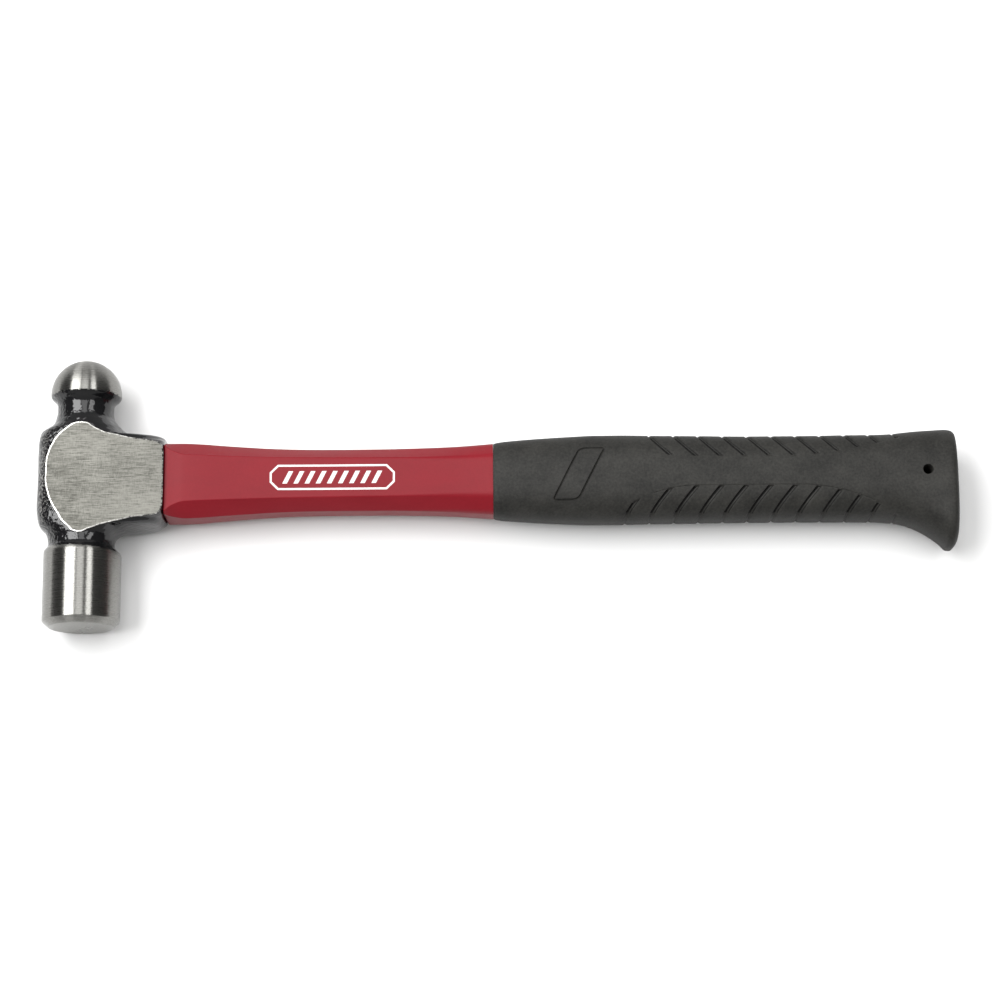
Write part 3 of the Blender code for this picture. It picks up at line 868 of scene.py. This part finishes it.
def groove_inner(x, upper=False):
    """Half height of the plain middle strip, which widens at both ends."""
    ahead = np.maximum(STRIP_WAIST[0] - x, 0) / 0.021
    behind = np.maximum(x - STRIP_WAIST[1], 0) / 0.031
    low = GROOVE_INNER + 0.0043 * ahead ** 2 + 0.0070 * behind ** 2
    high = UPPER_INNER + 0.0016 * ahead ** 2 + 0.0052 * behind ** 1.6
    return np.where(upper, high, low)


# across a groove: steep wall, floor that rises toward the butt, steep wall
GROOVE_PROFILE = ((-1.5, 0.0), (-1.02, 0.0), (-0.98, 0.08), (-0.78, 0.9), (-0.55, 1.0),
                  (-0.25, 0.90), (0.0, 0.78), (0.25, 0.66), (0.50, 0.55), (0.74, 0.48),
                  (0.95, 0.05), (1.02, 0.0), (1.5, 0.0))
# profile strips that get painted shade, in the lower grooves and in the upper ones
DARK_STRIPS = ((2, 3, 4, 5, 8), (2, 3, 4, 5, 6, 8))


def plain_rows(distances):
    """Rows without a groove."""
    return [(x, 0.0, 0, (False, False)) for x in distances]


def grip_stations():
    """Rows through the grooves: where each crosses the edge, its share of the
    groove's depth, the groove's number, and whether it gets painted shade below and above."""
    stations = []
    for i in range(GROOVE_COUNT):
        middle = groove_middle(i)
        for k, (part, depth) in enumerate(GROOVE_PROFILE):
            stations.append((middle + part * GROOVE_WIDTH, depth, i,
                             [k in strips for strips in DARK_STRIPS]))
        if i < GROOVE_COUNT - 1:
            start = middle + 1.5 * GROOVE_WIDTH
            end = middle + GROOVE_PITCH - 1.5 * GROOVE_WIDTH
            stations.extend(plain_rows(start + (end - start) * k / 7
                                       for k in range(1, 7)))
    return stations


def grip_ring(x, turn):
    """Superellipse points whose rows may lean: x is an array, one per column."""
    up, down, half = grip_size(x).T
    c, s = np.cos(turn), np.sin(turn)
    y = (up - down) / 2 + (up + down) / 2 * signed_power(c, 2 / GRIP_SQUARENESS)
    z = half * signed_power(s, 2 / GRIP_SQUARENESS)
    return np.stack([x, y, z], 1)


def grip_turn():
    """Column angles spread evenly along the section's outline."""
    fine = np.linspace(0, 2 * np.pi, 8001)
    y = 0.0161 * signed_power(np.cos(fine), 2 / GRIP_SQUARENESS)
    z = 0.0133 * signed_power(np.sin(fine), 2 / GRIP_SQUARENESS)
    length = np.concatenate([[0], np.cumsum(np.hypot(np.diff(y), np.diff(z)))])
    at = np.linspace(0, length[-1], GRIP_COLUMNS, endpoint=False)
    return np.interp(at, length, fine)


def leaned(edge_x, height):
    """Where a row that crosses the edge at edge_x lies at another height."""
    drop = np.clip(GROOVE_EDGE - np.abs(height), 0.0, GROOVE_EDGE - 0.0045) * 1000
    upper, lower = 0.00042 * drop ** 1.29, 0.00053 * drop ** 1.15
    share = smoothstep(-0.0045, 0.0045, height)
    amount = (smoothstep(0.170, 0.204, edge_x)
              * (1 - np.clip((edge_x - 0.3085) / 0.0190, 0, 1)))
    return edge_x + amount * (lower + (upper - lower) * share)


def press_groove(ring, x, edge_x, depth, number):
    """Sink one row's points along their normals; say how far each is in the groove."""
    up, down, half = grip_size(x).T
    reach = (up + down) / 2
    above = ring[:, 1] - (up - down) / 2
    height = np.abs(above)
    at_edge = smoothstep(*GROOVE_FADE, height)
    inside = smoothstep(-0.0002, 0.0004, height - groove_inner(x, above > 0))
    if number == 0:              # the first groove is on the lower side only
        inside = np.where(above > 0, 0.0, inside)
    off = abs(edge_x - groove_middle(number))
    notch = NOTCH_DEPTH * max(0.0, 1 - off / NOTCH_HALF)
    amount = inside * (depth * (1 - at_edge) + notch * at_edge)
    power = GRIP_SQUARENESS - 1
    out = unit(np.stack([signed_power(above / reach, power) / reach,
                         signed_power(ring[:, 2] / half, power) / half], 1))
    ring[:, 1:] -= (amount * GROOVE_DEPTH)[:, None] * out
    return inside * (1 - at_edge)


def build_grip_rings():
    """The grip's rings, and for each point whether its groove gets painted shade there."""
    turn = grip_turn()
    grooves = grip_stations()
    clear = 0.0006               # room between the grooves and the plain rows
    front = refine([r for r in GRIP_SECTIONS if r[0] < 0.2], (0,), 0.0011)[:, 0]
    rear = refine(GRIP_SECTIONS, (0, 1, 2, 3), 0.0006)[:, 0]
    rows = plain_rows(front[front < grooves[0][0] - clear]) + grooves
    rows += plain_rows(rear[rear > grooves[-1][0] + clear])
    rings, dark = [], []
    for edge_x, depth, number, painted_shade_sides in rows:
        x = np.full(len(turn), edge_x)
        for _ in range(3):
            ring = grip_ring(x, turn)
            up, down, _ = grip_size(x).T
            x = leaned(edge_x, ring[:, 1] - (up - down) / 2)
        ring = grip_ring(x, turn)
        held = np.zeros(len(turn))
        if depth > 0 or abs(edge_x - groove_middle(number)) < 0.0007:
            held = press_groove(ring, x, edge_x, depth, number)
        rings.append(ring)
        dark.append((held > 0.6) & np.where(ring[:, 1] > 0, painted_shade_sides[1], painted_shade_sides[0]))
    return rings, np.array(dark)


def surface_z(x, y):
    """Half thickness of the grip's front at a point in plan."""
    up, down, half = grip_size(x).T
    middle, reach = (up - down) / 2, (up + down) / 2
    share = np.clip(np.abs((y - middle) / reach), 0, 0.999)
    return half * (1 - share ** GRIP_SQUARENESS) ** (1 / GRIP_SQUARENESS)


def engraving(name, plan, width, depth, side, closed):
    """Cutter for an engraved line that follows the grip's surface."""
    plan = np.array(plan)
    z = surface_z(plan[:, 0], plan[:, 1])
    path = np.stack([plan[:, 0], plan[:, 1], z * side], 1)
    if closed:
        along = np.roll(path, -1, 0) - np.roll(path, 1, 0)
    else:
        along = np.gradient(path, axis=0)
    along = unit(along)
    delta = 1e-5
    slope_x = (surface_z(plan[:, 0] + delta, plan[:, 1]) - z) / delta
    slope_y = (surface_z(plan[:, 0], plan[:, 1] + delta) - z) / delta
    out = np.stack([-slope_x, -slope_y, np.ones(len(z))], 1)
    out[:, 2] *= side
    out = unit(out)
    across = unit(np.cross(along, out))
    profile = ((-0.6, 0.9), (0.6, 0.9), (0.5, 0.0), (0.28, -0.75), (0.0, -1.0),
               (-0.28, -0.75), (-0.5, 0.0))
    rings = [[p + a * u * width + o * v * depth for u, v in profile]
             for p, a, o in zip(path, across, out)]
    return new_object(name, *(closed_skin if closed else skin)(rings))


def rounded_outline(corners, radii, spacing=0.0005, steps=10):
    """Closed plan outline through corners, each rounded by its own radius."""
    corners = [np.array(c, float) for c in corners]
    points = []
    for i, corner in enumerate(corners):
        back = unit(corners[i - 1] - corner)
        ahead = unit(corners[(i + 1) % len(corners)] - corner)
        inside = math.acos(np.clip(back @ ahead, -1, 1))
        half = inside / 2
        reach = radii[i] / math.tan(half)
        centre = corner + unit(back + ahead) * radii[i] / math.sin(half)
        start, end = corner + back * reach - centre, corner + ahead * reach - centre
        sweep = math.pi - inside
        for k in range(steps + 1):
            t = k / steps
            points.append(centre + (start * math.sin((1 - t) * sweep)
                                    + end * math.sin(t * sweep)) / math.sin(sweep))
    dense = []
    for a, b in zip(points, points[1:] + points[:1]):
        pieces = max(1, int(np.linalg.norm(b - a) / spacing))
        dense.extend(a + (b - a) * k / pieces for k in range(pieces))
    return dense


WINDOW = [(0.1782, -0.0100), (0.1876, -0.0100), (0.1977, 0.0098), (0.1883, 0.0098)]
WINDOW_RADII = [0.0006, 0.0034, 0.0006, 0.0034]
WINDOW_LINE = (0.00080, 0.0006)          # width and depth of the engraved line
CREASE_LINE = (0.00040, 0.00013)
CREASE_ENDS = (0.2160, 0.2990)


def build_grip():
    rings, dark = build_grip_rings()
    pole = (BUTT_END, rings[-1][:, 1].mean(), 0)
    grip = new_object("grip_sleeve", *skin(rings, None, pole),
                      [grip_rubber(), groove_painted_shade()])
    # groove faces that get painted shade take the darker groove material
    for index in np.flatnonzero(dark[:-1] & np.roll(dark[:-1], -1, 1)):
        grip.data.polygons[int(index)].material_index = 1
    spigot = rounded_octagon(*(h + GAP for h in SPIGOT_HALF),
                             *(h + GAP for h in SPIGOT_FLATS), 0.0006)
    mouth = [[(x, y, z) for y, z in spigot]
             for x in (GRIP_START - 0.01, SPIGOT_END + GAP)]
    # the hang hole is straight through the sleeve and opens a little at its ends
    half_hole = [(HANG_RADIUS + 0.0014, 0.0180), (HANG_RADIUS + 0.0001, 0.01400),
                 (HANG_RADIUS, 0.01365)]
    hole = [[(HANG_X + radius * math.cos(a), radius * math.sin(a), z)
             for a in full_turn(48)]
            for radius, z in half_hole + [(r, -z) for r, z in reversed(half_hole)]]
    tools = [new_object("mouth_tool", *skin(mouth)), core_bore(0.150, CORE_END + GAP),
             new_object("hang_tool", *skin(hole))]
    outline = rounded_outline(WINDOW, WINDOW_RADII)
    crease = [(x, 0.0001 - float(groove_inner(x)))
              for x in np.linspace(*CREASE_ENDS, 120)]
    for side in (1, -1):
        tools.append(engraving("window_tool", outline, *WINDOW_LINE, side, True))
        tools.append(engraving("crease_tool", crease, *CREASE_LINE, side, False))
    carve(grip, tools)
    shade(grip, 50)
    piece(grip, "grip")


# --- badge -------------------------------------------------------------------
BADGE_LIFT = 0.00006            # above the jacket's broad flat
BADGE_SINK = 0.00012            # below it


def flat_z(x):
    """Height of the jacket's upper broad flat."""
    return float(jacket_at(x)[0][1])


def badge_strip(outline, inner):
    """Flat ring between two equal outlines, laid on the jacket's broad flat."""
    count = len(outline)
    level = [flat_z(x) for x, _ in outline]
    verts = []
    for points, rise in ((outline, BADGE_LIFT), (inner, BADGE_LIFT),
                         (inner, -BADGE_SINK), (outline, -BADGE_SINK)):
        verts += [(x, y, z + rise) for (x, y), z in zip(points, level)]
    faces = []
    for k in range(4):
        for i in range(count):
            j = (i + 1) % count
            a, b = k * count, (k + 1) % 4 * count
            faces.append((a + i, a + j, b + j, b + i))
    return verts, faces


def badge_bar(corners):
    """One slanted bar, as a low block on the flat."""
    top = [(x, y, flat_z(x) + BADGE_LIFT) for x, y in corners]
    low = [(x, y, z - BADGE_LIFT - BADGE_SINK) for x, y, z in top]
    return top + low, [(0, 1, 2, 3), (7, 6, 5, 4), (0, 4, 5, 1), (1, 5, 6, 2),
                       (2, 6, 7, 3), (3, 7, 4, 0)]


def build_badge():
    """Plain printed panel: a chamfered outline around slanted bars."""
    middle, half_x, half_y, cut, line = 0.0949, 0.0236, 0.0049, 0.0030, 0.00075

    def outline(inset):
        x, y = half_x - inset, half_y - inset
        c = cut - inset * 0.586
        corners = [(middle - x + c, -y), (middle + x - c, -y), (middle + x, -y + c),
                   (middle + x, y - c), (middle + x - c, y), (middle - x + c, y),
                   (middle - x, y - c), (middle - x, -y + c)]
        points = []
        for a, b in zip(corners, corners[1:] + corners[:1]):
            points.extend((a[0] + (b[0] - a[0]) * k / 8, a[1] + (b[1] - a[1]) * k / 8)
                          for k in range(8))
        return points

    verts, faces = badge_strip(outline(0.0), outline(line))
    bars, pitch, width, slant, tall = 9, 0.0042, 0.00085, 0.0012, 0.0024
    for i in range(bars):
        x = middle + (i - (bars - 1) / 2) * pitch
        more, sides = badge_bar([(x - slant - width, -tall), (x - slant + width, -tall),
                                 (x + slant + width, tall), (x + slant - width, tall)])
        base = len(verts)
        verts += more
        faces += [tuple(base + v for v in f) for f in sides]
    badge = new_object("jacket_badge", verts, faces, [badge_ink()])
    piece(badge, "handle_jacket")


# --- studio ------------------------------------------------------------------
def build_studio():
    def card(name, corners, material, z=0.0):
        """One flat sheet of the set."""
        sheet = link_object(name, new_mesh(name, corners, [(0, 1, 2, 3)]))
        sheet.location.z = z
        sheet.data.materials.append(material)
        return sheet

    paper = Shader("floor_paper", (0.67, 0.67, 0.67), 0.9, specular=0.0)
    card("floor", [(-4, -4, 0), (4, -4, 0), (4, 4, 0), (-4, 4, 0)], paper.mat,
         cad_box[0][2] - 0.00005)

    world = bpy.data.worlds.new("studio")
    bpy.context.scene.world = world
    world.use_nodes = True
    tree = world.node_tree
    coords = tree.nodes.new("ShaderNodeTexCoord")
    split = tree.nodes.new("ShaderNodeSeparateXYZ")
    ramp = tree.nodes.new("ShaderNodeValToRGB")
    background = tree.nodes["Background"]
    tree.links.new(coords.outputs["Generated"], split.inputs[0])
    tree.links.new(split.outputs["Z"], ramp.inputs[0])
    tree.links.new(ramp.outputs[0], background.inputs["Color"])
    horizon, zenith = ramp.color_ramp.elements
    horizon.color = (0.62, 0.62, 0.61, 1)
    zenith.color = (0.36, 0.36, 0.355, 1)
    background.inputs["Strength"].default_value = 1.0

    def softbox(name, lean, spread, radiance):
        """Panel aimed at the head, that many degrees from overhead and wide in X."""
        height, depth, forward = 2.4, 56, 0.22
        distance = height / math.cos(math.radians(lean))
        width = 2 * distance * math.tan(math.radians(spread / 2))
        length = 2 * distance * math.tan(math.radians(depth / 2))
        data = bpy.data.lights.new(name, "AREA")
        data.shape = "RECTANGLE"
        data.size, data.size_y = width, length
        data.energy = radiance * math.pi * width * length
        light = link_object(name, data)
        away = Vector((math.tan(math.radians(lean)), forward, 1.0))
        light.location = ORIGIN + away * height
        z = away.normalized()
        x = Vector((0, 1, 0)).cross(z).normalized()
        light.rotation_euler = Matrix((x, z.cross(x), z)).transposed().to_euler()

    softbox("softbox_left", -29.0, 29, 10.0)
    softbox("softbox_right", 29.5, 15, 5.2)
    softbox("softbox_over", 1.5, 21, 3.10)

    # dark flags beside the set, seen only in the metal
    flag = Shader("flag_cloth", (0.02, 0.02, 0.02), 0.9, specular=0.0)
    flag.set("Emission Color", (1, 1, 1, 1))
    flag.set("Emission Strength", 0.07)
    for name, x, top in (("flag_left", -2.2, 1.75), ("flag_right", 2.2, 2.95)):
        sheet = card(name, [(x, -2.5, 0), (x, 2.5, 0), (x, 2.5, top), (x, -2.5, top)],
                     flag.mat)
        sheet.visible_camera = sheet.visible_diffuse = sheet.visible_shadow = False


def build_camera():
    tilt, roll = math.radians(13.5), math.radians(0.5)
    focal_px = 2800.0            # for a picture 1000 px wide
    distance = 0.00038 * focal_px   # 0.38 mm a pixel at the target
    target = ORIGIN + Vector((0.1581, -0.0072, 0.0))
    back = Vector((0, -math.sin(tilt), math.cos(tilt)))
    right = Vector((1, 0, 0))
    up = back.cross(right)
    right, up = (right * math.cos(roll) - up * math.sin(roll),
                 up * math.cos(roll) + right * math.sin(roll))
    data = bpy.data.cameras.new("camera")
    data.sensor_width = 36.0
    data.lens = focal_px / 1000 * data.sensor_width
    data.clip_end = 20
    camera = link_object("camera", data)
    turn = Matrix((right, up, back)).transposed().to_4x4()
    camera.matrix_world = Matrix.Translation(target + back * distance) @ turn
    bpy.context.scene.camera = camera


build_camera()
build_studio()
build_head()
build_epoxy()
build_core()
build_jacket()
build_grip()
build_badge()
bpy.context.scene.view_settings.view_transform = "Standard"
